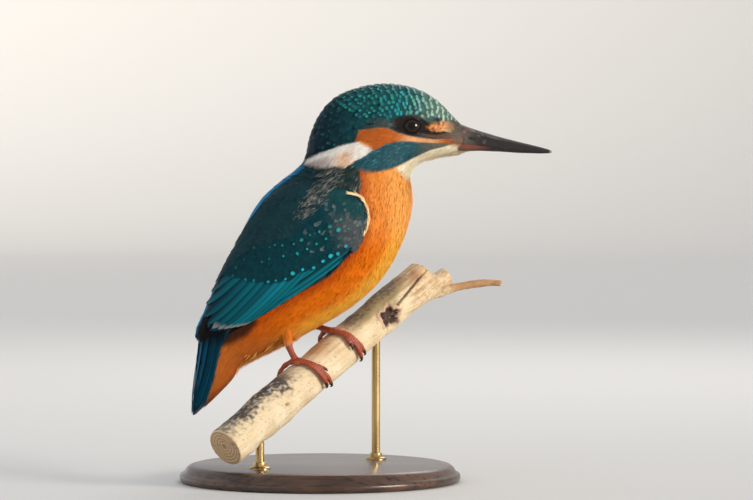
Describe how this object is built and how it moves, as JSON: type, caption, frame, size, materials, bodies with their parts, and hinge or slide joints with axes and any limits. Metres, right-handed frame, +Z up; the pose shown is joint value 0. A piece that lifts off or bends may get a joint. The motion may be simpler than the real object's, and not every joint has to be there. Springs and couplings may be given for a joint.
{
  "type": "common kingfisher",
  "caption": "Life-size still common kingfisher gripping a short slanting branch, held on a round display stand with two rods.",
  "frame": {"origin": "centre of the flat underside of the stand's round base", "axes": "+Z up; +X the way the bird faces, along its bill; +Y the bird's left side"},
  "size_m": [0.1379, 0.104, 0.1476],
  "materials": {
    "feather_crown": "dark teal barbed feather with bright turquoise tips, satin",
    "feather_orange": "rich orange body feather, soft",
    "feather_wing": "dark teal-blue wing feather with turquoise spots, satin",
    "feather_azure": "bright azure and dark blue back and tail feather, satin",
    "bill": "horn, blackish, satin",
    "bill_lower": "horn, blackish with a reddish root, satin",
    "legs": "red scaled skin, satin",
    "eye": "very dark brown, wet gloss",
    "bark": "weathered pale bark of a dead branch, rough",
    "base_wood": "turned dark wood, satin varnish",
    "rod": "brushed brass rod"
  },
  "bodies": {
    "root": {"head": "feather_crown", "neck": "feather_orange", "trunk": "feather_orange", "tail": "feather_azure", "wing_left": "feather_wing", "wing_right": "feather_wing", "eye_left": "eye", "eye_right": "eye", "bill_upper": "bill", "bill_lower": "bill_lower", "leg_left": "legs", "leg_right": "legs", "perch": "bark", "stand_base": "base_wood", "stand_rod_1": "rod", "stand_rod_2": "rod"}
  },
  "joints": []
}
